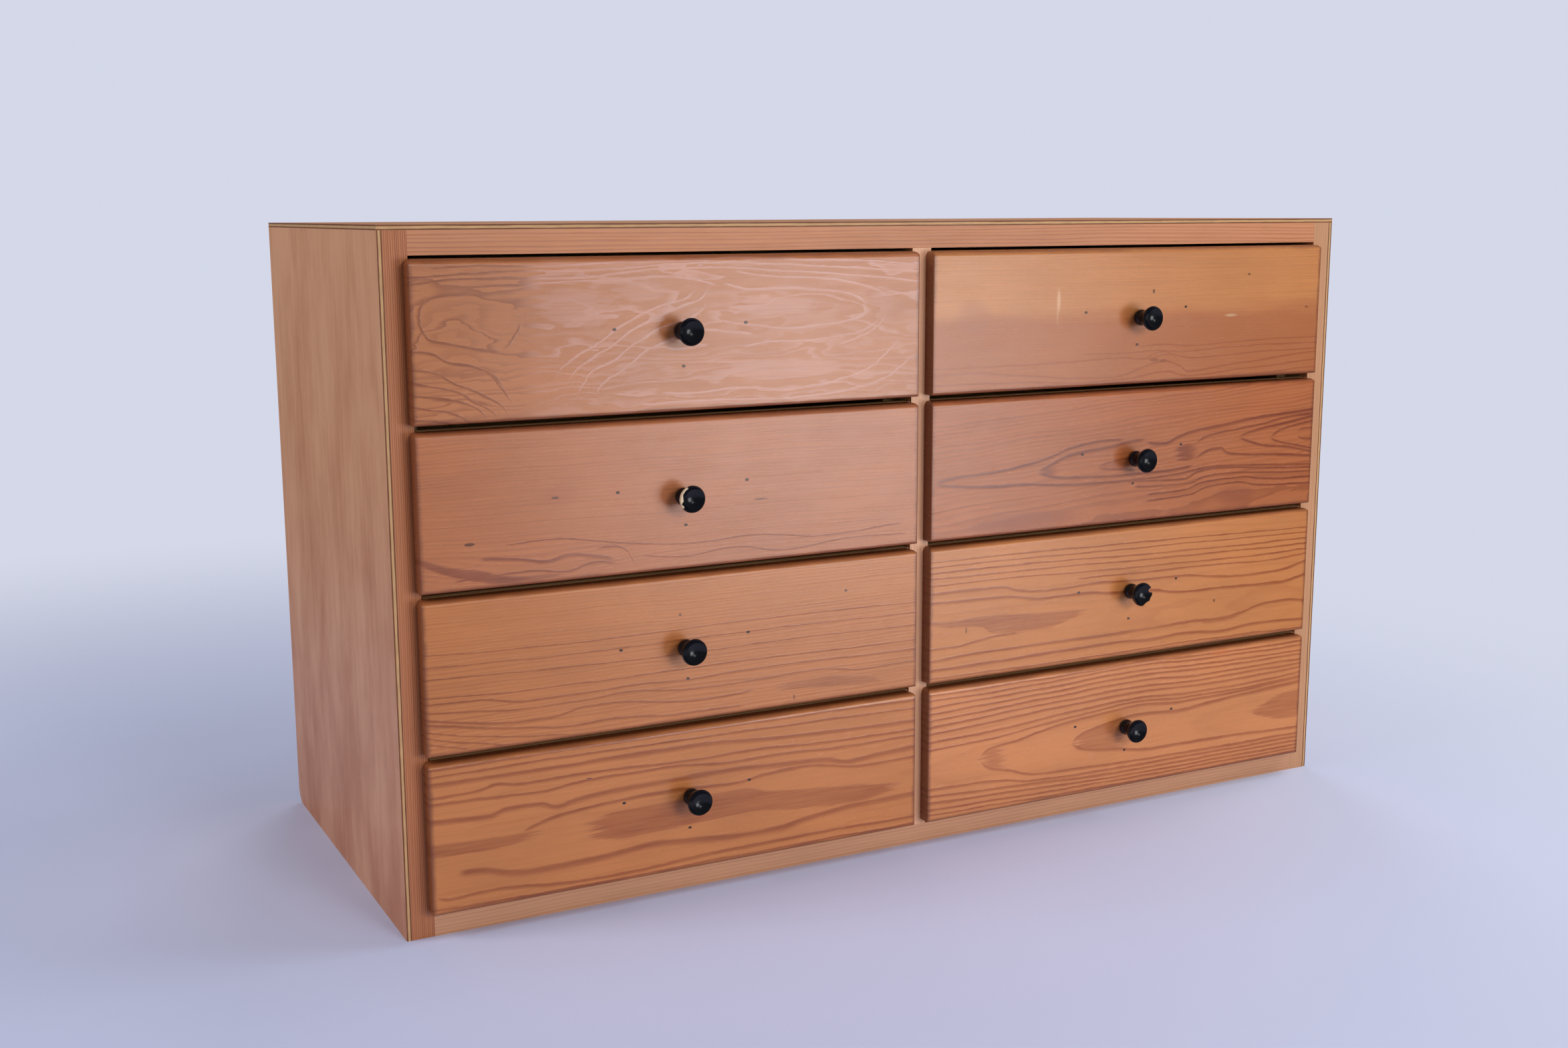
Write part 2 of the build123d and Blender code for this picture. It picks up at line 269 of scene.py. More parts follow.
def band(tree, along, across, streaks, upper, lower, strength, feather):
    """Latewood that fills the space between two lines and ends in streaks."""
    across = tree.mul_add(streaks, 1.6, across)
    below = tree.step(tree.sub(tree.curve(along, upper, SPAN, RISE), across), -1.2, 1.4)
    above = tree.step(tree.sub(across, tree.curve(along, lower, SPAN, RISE)), -1.2, 1.4)
    torn = tree.mul_add(streaks, feather, along)
    inside = within(tree, torn, upper[0][0], upper[-1][0], 9)
    filled = tree.mul(tree.mul(below, above), inside)
    return tree.mul(filled, tree.mul_add(streaks, 0.3, strength))


def drawn_figure(tree, place, look, seed):
    """The lines and filled places that make up a board's figure, from 0 to 1. Each shape's place
    is moved by what was found before it, a shift too small to see, so that they are worked out
    one after another and a material can hold many of them."""
    u, v, w = place
    point = tree.vector(u, v, w)
    ragged = tree.noise(tree.grained(point, 9, 1.1, seed + 30), detail=4.0, roughness=0.6)
    streaks = tree.noise(tree.grained(point, 40, 1.0, seed + 31), detail=3.0, roughness=0.6)
    swell = tree.noise(tree.grained(point, 50, 9, seed + 32), detail=2.0)
    across = tree.mul_add(swell, look.get("sway", 0.7), tree.mul_add(ragged, 0.6, v))
    along = tree.mul_add(swell, look.get("sway", 0.7), tree.mul_add(ragged, 0.6, u))
    found = tree.mul(ragged, 0.0001)
    for half, points in look.get("lines", ()):
        found = tree.most(found, stroke(tree, tree.add(u, found), across, half, points))
    for half, points in look.get("uprights", ()):
        found = tree.most(found, stroke(tree, tree.add(v, found), along, half, points, (RISE,
                                                                                        SPAN)))
    for shape in look.get("bands", ()):
        found = tree.most(found, band(tree, tree.add(u, found), across, streaks, *shape))
    patchy = tree.noise(tree.grained(point, 45, 7, seed + 33), detail=3.0)
    broken = tree.mul_add(streaks, 0.14, tree.mul_add(patchy, 0.2, 0.86))
    return tree.mul(tree.mul(found, broken), look.get("depth", 0.6))


def spots(tree, place, marks, sharp=(1.25, 0.75)):
    """1 inside any of some small ellipses on the face, each (x, z, half width, half height)."""
    u, v, w = place
    found = None
    for x, z, wide, high in marks:
        one = tree.step(lump(tree, u, v, x, z, wide, high), *sharp)
        found = one if found is None else tree.most(found, one)
    return found


STREAK, BLOTCH = 0.07, 0.1   # how much fibres and clouds lighten and darken wood


def timber(tree, place, rings, early, late, seed, strength, drawn=None):
    """Wood colour at a place, and the latewood share and the fibre there."""
    u, v, w = place
    point = tree.vector(u, v, w)
    summer = tree.mul(growth(tree, place, rings, seed), strength)
    if drawn is not None:
        summer = tree.most(summer, drawn)
    fade = tree.noise(tree.grained(point, 90, 22, seed + 9))
    summer = tree.mul(summer, tree.mul_add(fade, 0.22, 0.95))
    colour = tree.mix(summer, early, late)
    fibre = tree.noise(tree.grained(point, 22, 0.42, seed + 3), detail=3.0)
    long_fibre = tree.noise(tree.grained(point, 80, 2.0, seed + 4), detail=4.0)
    cloud = tree.noise(tree.grained(point, 110, 45, seed + 6), detail=3.0)
    tone = tree.mul_add(fibre, STREAK, tree.mul(cloud, BLOTCH))
    tone = tree.mul_add(long_fibre, STREAK, tone)
    return tree.shade(colour, tone), summer, fibre


BARE_EARLY, BARE_LATE = srgb(214, 178, 130), srgb(176, 122, 76)
EDGE_BROWN = srgb(112, 56, 34)
HOLE = srgb(30, 14, 10)

# Each front's figure: fine rings that run through the board at a strength, and over them, at a
# depth, the lines drawn from their places on the face, in millimetres from its middle:
# (half thickness, points) with x first, or with z first in uprights. A band is filled wood between
# an upper and a lower line: (upper, lower, strength, length of its streaks). sway is how far noise
# moves them, polish what latewood adds to the roughness, and painted_sheen a pale latewood colour
# that takes over between two x places: painted sheen, the lamp's reflection on glossy latewood.
# marks are dents, stains are (tint, share, ellipses), and shade_below is (height, tint, share)
# for a board that is darker below a height.
FRONTS = {
    # The left column's earlywood colours are darker than the right column's: partly the boards' own
    # tone, partly painted shade for the light falling off to the left.
    "left_1": dict(
        depth=0.62, early=srgb(186, 115, 70), late=srgb(104, 46, 40), strength=0.5, seed=11,
        sway=1.6, polish=-0.1, painted_sheen=(srgb(210, 158, 146), -135, -112),
        rings=dict(pith=(30, 70), ring=4.0, wave=(6, 60, 16), fray=0.4,
                   swells=((95, 14, 75, 24, 13), (-178, 12, 28, 24, 9), (70, -30, 80, 11, 8))),
        lines=(
            (1.1, ((-207, 13), (-199, 2), (-186, -1), (-162, -6), (-146, -8))),
            (0.9, ((-206, 22), (-199, 32), (-186, 34.5), (-166, 35))),
            (0.9, ((-220, -4.5), (-199, -7.7), (-187, -14), (-169, -17.5), (-157, -23), (-149, -33),
                   (-138, -47))),
            (1.6, ((-158, -21), (-152, -26), (-147, -33), (-144, -38))),
            (0.8, ((-220, -18), (-199, -21), (-186, -28), (-169, -36), (-152, -44), (-144, -53),
                   (-140, -62))),
            (0.8, ((-220, -27), (-199, -31), (-182, -36), (-169, -43), (-152, -55), (-149, -62))),
            (0.9, ((-220, -35), (-199, -40), (-179, -43), (-165, -50), (-157, -62))),
            (0.7, ((-220, -44), (-202, -48), (-185, -52), (-169, -60))),
            (0.7, ((-220, -53), (-195, -57), (-180, -62))),
            (0.8, ((-220, 42), (-160, 46), (-90, 45), (-40, 49), (20, 51), (90, 47), (150, 42),
                   (220, 36))),
            (0.7, ((-220, 47), (-150, 50), (-60, 51), (10, 55), (80, 53), (150, 48), (220, 43))),
            (0.7, ((-200, 54), (-120, 54), (-40, 56), (40, 57.5), (120, 55), (220, 50))),
            (0.8, ((-190, 39), (-130, 41), (-60, 43), (-20, 44), (10, 41), (30, 36))),
            (0.9, ((-106, -34), (-101, -22), (-92, -16), (-76, -8), (-59, 4), (-39, 14), (-19, 22),
                   (0, 27), (12, 35))),
            (0.9, ((-96, -36), (-92, -27), (-84, -20), (-66, -11), (-46, 3), (-26, 12), (-4, 20),
                   (14, 27), (24, 38))),
            (0.9, ((-90, -44), (-82, -34), (-76, -25), (-58, -18), (-36, -3), (-14, 7), (10, 14),
                   (22, 24))),
            (0.9, ((-76, -46), (-66, -34), (-50, -25), (-30, -12), (-8, -3), (16, 2), (40, 0),
                   (62, -3))),
            (0.9, ((34, 38), (60, 33), (90, 34), (114, 32), (144, 28), (160, 22), (166, 15))),
            (0.9, ((30, 10), (60, 5), (90, 1), (120, 3), (148, 6), (166, 12))),
            (0.8, ((44, 47), (80, 42), (120, 40), (160, 34), (180, 27), (186, 17))),
            (0.8, ((136, -14), (156, -8), (172, 0), (186, 14))),
            (0.8, ((50, -12), (80, -8), (110, -9), (140, -6), (160, -2), (176, 6))),
            (0.8, ((-20, -44), (10, -46), (50, -44), (90, -47), (130, -44), (160, -36), (180, -24),
                   (196, -10))),
            (0.8, ((-40, -52), (20, -53), (80, -54), (130, -52), (170, -46), (196, -34),
                   (212, -22))),
        ),
        uprights=(
            (1.1, ((2, -200), (10, -206), (20, -207), (30, -201), (34, -190))),
            (1.0, ((-8, -145), (-2, -139), (6, -134), (14, -131))),
        ),
        bands=(
            (((-120, 34), (-95, 37), (-75, 35), (-58, 31)),
             ((-120, 18), (-95, 10), (-75, 8), (-58, 14)), 0.5, 30),
            (((-58, 42), (-35, 42), (-8, 38)),
             ((-58, 34), (-35, 26), (-8, 32)), 0.45, 24),
            (((44, 28), (80, 27), (125, 24)),
             ((44, 16), (80, 11), (125, 13)), 0.5, 34),
            (((28, -20), (80, -23), (142, -26)),
             ((28, -34), (80, -38), (142, -36)), 0.5, 40),
            (((-54, -23), (-30, -24)),
             ((-54, -36), (-30, -38)), 0.45, 24),
            (((-22, -22), (-2, -26)),
             ((-22, -36), (-2, -36)), 0.45, 20),
            (((168, 36), (190, 30)),
             ((168, 18), (190, 14)), 0.45, 20),
            (((138, -8), (160, -12)),
             ((138, -22), (160, -20)), 0.4, 20),
            (((-182, 20), (-166, 19)),
             ((-182, 14), (-166, 13)), 0.35, 12),
        ),
    ),
    "left_2": dict(
        depth=0.75, early=srgb(187, 114, 72), late=srgb(108, 44, 38), strength=0.26, seed=13,
        rings=dict(pith=(-150, 60), lean=(0, 0.02), ring=2.4, wave=(3, 160, 40), band=(0.3, 0.95),
                   swells=((-130, -50, 90, 16, 10),)),
        lines=(
            (1.3, ((-170, -36), (-152, -38), (-136, -40), (-116, -43), (-96, -40), (-79, -42),
                   (-60, -46))),
            (0.8, ((-190, -52), (-160, -50), (-130, -49), (-100, -52), (-76, -47), (-58, -50))),
            (0.6, ((-76, -37), (-62, -36), (-52, -39), (-46, -48), (-40, -56))),
            (0.5, ((-150, -28), (-110, -26), (-80, -30), (-40, -36), (10, -40), (60, -38),
                   (120, -44), (200, -40))),
            (0.5, ((-40, -46), (0, -50), (40, -46), (90, -53), (150, -48), (205, -50))),
        ),
        bands=(
            (((-216, -32), (-190, -41), (-170, -45), (-148, -51), (-106, -54)),
             ((-216, -37), (-190, -48), (-170, -54), (-148, -57), (-106, -57)), 0.9, 20),
            (((-10, -46), (30, -49)),
             ((-10, -54), (30, -53)), 0.2, 10),
        ),
        marks=((-176, -25, 4, 1.3), (66, -9.5, 6, 0.6), (-108, 5, 3, 1.0)),
        stains=((srgb(170, 96, 66), 0.3, ((-104, 6, 14, 9), (150, 40, 40, 8))),),
    ),
    "left_3": dict(
        depth=0.75, early=srgb(194, 120, 67), late=srgb(132, 62, 32), strength=0.34, seed=17,
        rings=dict(pith=(-75, 18), ring=2.7, wave=(3, 150, 40), band=(0.35, 0.95)),
        lines=(
            (0.8, ((-220, -18), (-169, -20), (-136, -25), (-86, -25), (-46, -24), (-6, -26),
                   (48, -24), (220, -26))),
            (0.8, ((-220, -24), (-176, -28), (-139, -31), (-86, -31), (-52, -29), (-6, -33),
                   (48, -34), (114, -32), (164, -37), (220, -36))),
            (0.9, ((-220, -29), (-190, -35), (-152, -40), (-119, -41), (-86, -36), (-52, -37),
                   (-12, -42), (14, -44), (60, -42))),
            (1.0, ((-220, -33), (-190, -38), (-160, -43), (-136, -46), (-102, -50), (-69, -49),
                   (-46, -50), (-6, -53), (50, -53))),
            (0.6, ((-220, -38), (-190, -45), (-160, -50), (-130, -54), (-100, -56))),
            (0.6, ((-220, -42), (-195, -49), (-170, -54), (-150, -58))),
            (0.6, ((-220, -47), (-200, -52), (-180, -57))),
            (0.6, ((-220, -13), (-180, -15), (-140, -17), (-60, -17), (40, -16), (220, -18))),
            (0.5, ((-220, 1), (-160, -1), (-90, -3), (0, -4), (100, -3), (220, -5))),
            (0.5, ((-220, 10), (-150, 8), (-60, 7), (60, 8), (220, 6))),
            (0.5, ((-220, 20), (-150, 17), (-60, 16), (60, 17), (220, 15))),
        ),
        bands=(
            (((78, -40), (114, -39), (148, -41), (182, -47)),
             ((78, -45), (114, -47), (148, -50), (182, -51)), 0.7, 16),
        ),
        marks=((145, 32, 1.5, 1.2), (-6, 28, 1.2, 1.2), (96, -53, 0.7, 2.2)),
    ),
    "left_4": dict(
        depth=0.85, early=srgb(196, 122, 67), late=srgb(138, 64, 30), strength=0.14, seed=19,
        sway=1.0,
        rings=dict(pith=(-17, 60), lean=(0.01, 0), ring=4.3, wave=(3, 110, 26)),
        lines=(
            (1.0, ((-220, 56), (-80, 56.5), (60, 56), (220, 54))),
            (0.9, ((-220, 50), (-150, 51), (-20, 50), (100, 49), (220, 46.5))),
            (1.6, ((-220, 43.5), (-120, 44), (15, 43.5), (60, 41), (114, 38), (220, 35))),
            (1.1, ((-220, 34), (-176, 34.5), (-162, 37), (-142, 35), (-86, 35), (14, 31.5),
                   (64, 32), (114, 29), (220, 28))),
            (1.2, ((-220, 29), (-152, 27), (-126, 26), (-86, 29), (-20, 29), (34, 25), (81, 25),
                   (148, 22), (220, 22.5))),
            (1.9, ((-220, 16), (-199, 14.7), (-169, 13), (-152, 17), (-126, 16), (-112, 12),
                   (-102, 14), (-69, 17), (-19, 18), (34, 18.5), (81, 16), (128, 13.5), (148, 9.5),
                   (175, 11), (220, 12.5))),
            (1.3, ((-142, -4), (-122, 2), (-99, 5.3), (-69, 7.7), (-19, 8.7), (41, 7), (64, 9.3),
                   (101, 11.3), (128, 8.7), (148, 4.7), (181, 2.7), (220, 3.5))),
            (2.3, ((-194, -28), (-176, -29), (-152, -35), (-119, -37), (-79, -36), (-32, -33),
                   (-6, -35), (34, -38), (81, -39), (108, -35), (148, -31), (220, -29.5))),
            (1.2, ((-212, -45), (-199, -48), (-176, -47), (-146, -48), (-119, -51), (-52, -53),
                   (-6, -51), (48, -49.7), (114, -49.7), (220, -51))),
            (0.8, ((-220, -55), (-100, -57), (40, -56), (220, -57))),
        ),
        bands=(
            (((-217, -3), (-165, -4.5), (-128, -6)),
             ((-217, -13), (-176, -14.5), (-128, -11)), 0.75, 22),
            (((-88, -5), (-59, 0), (-12, 0), (48, 0), (71, -5), (114, -10), (148, -13), (200, -18)),
             ((-88, -19), (-59, -24), (-6, -23), (48, -21), (98, -25), (148, -28),
              (200, -23)), 0.75, 26),
        ),
        marks=((-86, 30, 2.5, 0.6),),
    ),
    "right_1": dict(
        depth=0.75, early=srgb(202, 131, 76), late=srgb(118, 54, 40), strength=0.2, seed=23,
        shade_below=(4, srgb(164, 88, 50), 0.66),
        rings=dict(pith=(-190, 90), ring=2.2, wave=(3, 180, 40), band=(0.3, 0.95)),
        lines=(
            (0.6, ((-220, -38), (-150, -38), (-86, -37.5), (-19, -36), (14, -38), (34, -35),
                   (64, -39), (130, -37), (220, -36))),
            (0.8, ((-220, -44), (-180, -43), (-126, -47), (-69, -52), (-32, -53), (-6, -49),
                   (11, -44), (30, -41), (48, -46), (60, -51), (98, -48), (148, -44), (220, -38))),
            (0.7, ((-220, -51), (-119, -53), (-59, -56), (-6, -54), (30, -50), (60, -55),
                   (120, -52), (220, -46))),
            (0.5, ((-60, -31), (-10, -32), (20, -31), (50, -33), (120, -31), (220, -30))),
            (0.5, ((0, -27), (26, -26), (60, -28), (130, -26), (220, -25))),
            (0.6, ((-220, -56), (-120, -58), (0, -58), (120, -57), (220, -53))),
            (0.5, ((8, -40), (16, -35), (28, -32.5), (40, -35), (48, -42))),
        ),
        
        marks=((20, -39.5, 5, 1.3), (30, -40.5, 4, 1.4), (198.7, 3, 2, 1), (127, 34.7, 1.6, 1),
               (17, 21.7, 1.4, 2)),
        stains=(
            (srgb(150, 84, 58), 0.28, ((-174, 4, 18, 15),)),
            (srgb(230, 184, 140), 0.7, ((-86.5, 16, 1.9, 10), (-87.5, 2, 0.9, 9))),
            (srgb(244, 214, 168), 0.95, ((107, -2.2, 7, 1.3),)),
        ),
    ),
    "right_2": dict(
        depth=0.85, early=srgb(178, 101, 56), late=srgb(104, 38, 26), strength=0.4, seed=29,
        rings=dict(pith=(-60, 50), lean=(0.06, 0), ring=3.2, wave=(3, 120, 30), band=(0.35, 0.95)),
        lines=(
            (1.1, ((-212, -9), (-186, -5.7), (-152, -4), (-119, 0), (-86, 6.7), (-72, 11.5),
                   (-46, 15), (-10, 16))),
            (1.1, ((-212, -10), (-186, -14), (-152, -16), (-119, -16.7), (-79, -20), (-19, -21.7),
                   (48, -20), (98, -16), (148, -18), (220, -22))),
            (1.4, ((-105, -7), (-92, -1.7), (-76, 4), (-59, 7), (-32, 9.3), (-6, 13.3), (14, 15))),
            (1.2, ((-105, -8), (-86, -13), (-59, -15), (-19, -16), (34, -16), (70, -14))),
            (0.8, ((-41, -7.5), (-26, -4), (-6, -1.7), (12, 0))),
            (0.8, ((-41, -8.5), (-19, -10.7), (4, -12.7))),
            (1.5, ((12, 12), (34, 9.3), (48, 13.3), (68, 18.3), (98, 21.7), (148, 26.7),
                   (220, 31))),
            (1.0, ((71, 7), (81, 11.7), (98, 15), (121, 17.3), (148, 20), (181, 25), (220, 27))),
            (1.2, ((71, -7), (88, 0), (101, 0.7), (108, -3.3), (128, -6.7), (160, -9), (220, -14))),
            (1.3, ((122, 9.7), (134, 13.3), (154, 16.7), (181, 20), (220, 25.5))),
            (1.1, ((122, 9), (134, 5), (154, 0), (181, -3.3), (220, -11))),
            (1.1, ((160, 7), (174, 13.3), (191, 16.7), (220, 20.5))),
            (1.0, ((160, 6.4), (174, 1.7), (194, -2.7), (220, -7.5))),
            (1.0, ((194, 9.4), (200, 12.7), (220, 13.4))),
            (1.0, ((194, 8.6), (200, 4), (220, 2.5))),
            (0.9, ((-12, -22), (14, -23.5), (58, -25), (74, -20), (101, -17.5), (150, -21),
                   (220, -25))),
            (0.9, ((0, -28), (34, -29.3), (64, -29.3), (81, -25), (114, -23.3), (160, -26),
                   (220, -29))),
            (0.9, ((14, -36.7), (61, -35), (81, -29.3), (131, -28.3), (148, -31), (220, -34))),
            (0.8, ((14, -42), (68, -40), (84, -35), (120, -33), (148, -37), (220, -40))),
        ),
        bands=(
            (((-105, -6), (-96, -3), (-84, -4)),
             ((-105, -9), (-96, -12), (-84, -11)), 0.7, 10),
            (((-41, -7), (-20, -4), (0, -3)),
             ((-41, -9), (-20, -10), (0, -11)), 0.5, 12),
            (((46, 4), (60, 7), (74, 7)),
             ((46, -6), (60, -9), (74, -7)), 0.8, 12),
        ),
        stains=((srgb(134, 62, 42), 0.4, ((120, -45, 24, 9), (-120, -50, 60, 8))),),
    ),
    "right_3": dict(
        depth=0.82, early=srgb(200, 126, 70), late=srgb(138, 62, 32), strength=0.16, seed=31,
        sway=0.9,
        rings=dict(pith=(-24, 70), lean=(0, 0.01), ring=4.0, wave=(3, 140, 26), band=(0.5, 0.95)),
        lines=(
            (0.6, ((-220, 48), (-100, 47), (30, 45), (220, 42))),
            (0.6, ((-220, 43), (-100, 42), (30, 40), (220, 37))),
            (0.7, ((-220, 38), (-100, 37), (0, 34), (120, 32), (220, 31))),
            (0.7, ((-220, 33), (-120, 32), (0, 29), (120, 27), (220, 26))),
            (0.7, ((-220, 27), (-120, 26), (-20, 23), (90, 21), (160, 20), (220, 21))),
            (0.7, ((-60, 18), (10, 17), (90, 16), (160, 14), (220, 17))),
            (1.1, ((-220, 20), (-139, 18.7), (-122, 14.4), (-86, 11), (-32, 11.7), (14, 10),
                   (64, 9.4), (98, 4.4), (158, 2), (188, 3.7), (220, 11))),
            (1.2, ((-220, 12), (-179, 11), (-136, 10), (-96, 4.4), (-52, 4.4), (-19, 1), (28, -1.3),
                   (58, -5.6), (114, -7.3), (181, -9), (200, -7), (220, -3))),
            (0.9, ((-220, -29), (-192, -29), (-152, -25), (-120, -24))),
            (1.2, ((-220, -40), (-152, -37.3), (-86, -37.3), (14, -37.3), (74, -35.6), (101, -37.3),
                   (134, -34), (158, -29), (188, -27.3), (220, -31))),
            (1.8, ((84, -36), (101, -37), (120, -36.5), (136, -33))),
            (1.3, ((-220, -47.3), (-119, -47), (-19, -45.6), (31, -47.3), (64, -46), (114, -49),
                   (148, -46.6), (220, -49))),
            (0.7, ((-220, -55), (-60, -56), (100, -55), (220, -57))),
        ),
        bands=(
            (((-217, -2.3), (-199, -6), (-152, -5), (-119, -7.3), (-50, -11)),
             ((-217, -8), (-186, -12), (-162, -14), (-149, -22), (-96, -24), (-69, -19),
              (-50, -14)), 0.75, 22),
            (((-12, 19), (14, 19)),
             ((-12, 16.5), (14, 16.5)), 0.5, 8),
            (((34, -50), (46, -50)),
             ((34, -54), (46, -54)), 0.4, 4),
        ),
        marks=((-177, -16, 0.7, 3), (100.7, -19, 1.2, 1.5)),
    ),
    "right_4": dict(
        depth=0.8, early=srgb(208, 133, 80), late=srgb(144, 68, 36), strength=0.16, seed=37,
        sway=0.9,
        rings=dict(pith=(-13, 60), lean=(0.01, -0.02), ring=4.6, wave=(2.5, 130, 28)),
        lines=(
            (0.9, ((-220, 55), (-80, 55), (10, 57), (90, 55), (220, 54))),
            (0.9, ((-220, 50), (-80, 51), (10, 54), (90, 51), (220, 50))),
            (0.9, ((-220, 44), (-80, 46.5), (10, 49), (90, 46), (220, 45))),
            (1.0, ((-220, 38), (-80, 42), (10, 44.5), (90, 41.5), (220, 41))),
            (1.0, ((-220, 32), (-80, 37), (10, 39.5), (90, 36), (220, 36))),
            (1.0, ((-220, 26), (-80, 31.5), (10, 34), (90, 31), (220, 32))),
            (1.1, ((-220, 20), (-80, 26), (10, 29), (90, 26), (220, 28))),
            (1.1, ((-220, 13), (-140, 15), (-60, 20), (10, 23.5), (70, 20), (140, 20), (220, 23))),
            (1.0, ((-220, 6), (-150, 8), (-90, 13), (-40, 16.5), (10, 20), (70, 16), (140, 16),
                   (220, 19))),
            (1.2, ((-161, -9), (-152, -2), (-119, 2), (-99, 6), (-69, 10.3), (-19, 14), (14, 16),
                   (68, 12.5), (114, 13), (220, 18))),
            (1.2, ((-161, -10), (-152, -18.6), (-129, -24.6), (-102, -32), (-62, -34.6), (14, -37),
                   (81, -38), (220, -39))),
            (1.6, ((-61, -9.5), (-49, -3), (-19, 3.6), (14, 7), (64, 4.6), (101, 7), (148, 10.3),
                   (220, 14))),
            (1.4, ((-61, -11), (-46, -17), (-6, -23), (28, -28), (81, -28.6), (150, -30),
                   (220, -33))),
            (1.1, ((-220, -30), (-136, -33), (-109, -38), (-19, -41), (220, -42.5))),
            (1.1, ((-220, -36), (-136, -40), (-19, -45), (220, -46.5))),
            (1.0, ((-220, -42), (-120, -45.5), (14, -49.7), (220, -50.5))),
            (0.9, ((-220, -48), (-86, -51.5), (50, -53.5), (220, -54))),
            (0.8, ((-220, -53), (0, -57), (220, -57.5))),
        ),
        bands=(
            (((-161, -7), (-150, -1), (-132, 1)),
             ((-161, -12), (-150, -20), (-132, -24)), 0.6, 18),
            (((-61, -8), (-46, -2), (-22, 3), (-2, 5)),
             ((-61, -12), (-46, -17), (-22, -21), (-2, -24)), 0.65, 22),
            (((151, -8), (168, -3), (188, 3.6), (216, 6)),
             ((151, -11), (168, -16), (188, -21), (216, -23)), 0.65, 18),
        ),
        stains=((srgb(200, 110, 56), 0.5, ((112, 55, 10, 4),)),),
    ),
}


HALF_FRONT = (214.5, 60)   # half the width and height of a drawer front
LIP = 12                   # the varnished depth of a front's edges
PIN_HOLES = ((-57, 5, 1.6, 1.1), (54, 7, 1.6, 1.1), (0, -25, 1.5, 1.1))
GRAIN_DEPTH = 0.0003       # height of the varnished grain's bumps, in metres
FRONT_ROUGHNESS, FRAME_ROUGHNESS, BARE_ROUGHNESS = 0.27, 0.45, 0.62


def discoloured(tree, place, colour, look):
    """The colour with a front's stains, its dents and marks, and the darker wood below a height."""
    for tint, share, shapes in look.get("stains", ()):
        stain = tree.mul(spots(tree, place, shapes, (1.6, 0.1)), share)
        colour = tree.mix(stain, colour, tint)
    if "marks" in look:
        colour = tree.mix(tree.mul(spots(tree, place, look["marks"]), 0.7), colour, HOLE)
    if "shade_below" in look:
        u, v, w = place
        height, tint, share = look["shade_below"]
        drift = tree.noise(tree.grained(tree.vector(u, v, w), 90, 14, look["seed"] + 21))
        edge = tree.mul_add(drift, 7.0, v)
        colour = tree.mix(tree.mul(tree.step(edge, height + 11, height - 11), share), colour, tint)
    return colour


def brown_edges(tree, place, colour, wear):
    """The colour with the brown that old varnish leaves along a front's rounded edges."""
    u, v, _ = place
    out_u = tree.sub(tree.math("ABSOLUTE", u), HALF_FRONT[0])
    out_v = tree.sub(tree.math("ABSOLUTE", v), HALF_FRONT[1])
    margin = tree.mul_add(wear, 1.2, tree.most(out_u, out_v))
    return tree.mix(tree.mul(tree.step(margin, -4.6, -0.4), 0.75), colour, EDGE_BROWN)


def front_material(drawer, look):
    """Varnished drawer front: figured pine, darker rounded edges, pin holes, bare wood behind."""
    tree = Tree(f"pine_front_{drawer}")
    seed = look["seed"]
    place = board_place(tree, face_middle(f"drawer_{drawer}_front", "xzy"), "xzy")
    u, v, w = place
    late = look["late"]
    # A pale latewood colour takes over between two x places: a painted sheen, the lamp's reflection
    # on glossy latewood.
    if "painted_sheen" in look:
        sheen_colour, start, end = look["painted_sheen"]
        late = tree.mix(tree.step(u, start, end), late, sheen_colour)
    drawn = drawn_figure(tree, place, look, seed)
    colour, summer, fibre = timber(
        tree, place, look["rings"], look["early"], late, seed, look["strength"], drawn=drawn
    )
    colour = discoloured(tree, place, colour, look)
    wear = tree.noise(tree.grained(tree.vector(u, v, w), 30, 12, seed + 20), detail=4.0)
    colour = brown_edges(tree, place, colour, wear)
    holes = tree.mul(spots(tree, place, PIN_HOLES), tree.step(w, 2.0, 1.0))
    colour = tree.mix(tree.mul(holes, 0.95), colour, HOLE)
    bare, _, _ = timber(tree, place, look["rings"], BARE_EARLY, BARE_LATE, seed, 0.5)
    behind = tree.step(w, LIP + 0.05, LIP + 0.25)
    colour = tree.mix(behind, colour, bare)
    height = tree.mul_add(fibre, 0.25, summer)
    height = tree.mul_add(holes, -3.0, height)
    roughness = tree.mul_add(summer, look.get("polish", -0.05), FRONT_ROUGHNESS)
    roughness = tree.add(roughness, tree.mul(wear, 0.03))
    roughness = tree.mul_add(behind, 0.3, roughness)
    return tree.finish(colour, roughness, tree.bump(height, 0.25, GRAIN_DEPTH))


def member_material(name, node, order, rings, early, late, seed, strength=0.6):
    """Varnished frame member, bare at its back."""
    tree = Tree(name)
    place = board_place(tree, face_middle(node, order), order)
    u, v, w = place
    colour, summer, fibre = timber(tree, place, rings, early, late, seed, strength)
    bare, _, _ = timber(tree, place, rings, BARE_EARLY, BARE_LATE, seed, 0.5)
    behind = tree.step(w, 6.0, 9.0)
    colour = tree.mix(behind, colour, bare)
    wear = tree.noise(tree.grained(tree.vector(u, v, w), 30, 8, seed + 20), detail=4.0)
    roughness = tree.mul_add(wear, 0.05, tree.mul_add(summer, -0.12, FRAME_ROUGHNESS))
    bump = tree.bump(tree.mul_add(fibre, 0.3, summer), 0.3, GRAIN_DEPTH)
    return tree.finish(colour, roughness, bump)


def bare_pine(tree, place, rings, seed):
    """Finishes a tree as planed pine without varnish."""
    colour, summer, fibre = timber(tree, place, rings, BARE_EARLY, BARE_LATE, seed, 0.6)
    roughness = tree.mul_add(fibre, 0.05, BARE_ROUGHNESS)
    bump = tree.bump(tree.mul_add(fibre, 0.5, summer), 0.3, GRAIN_DEPTH)
    return tree.finish(colour, roughness, bump)


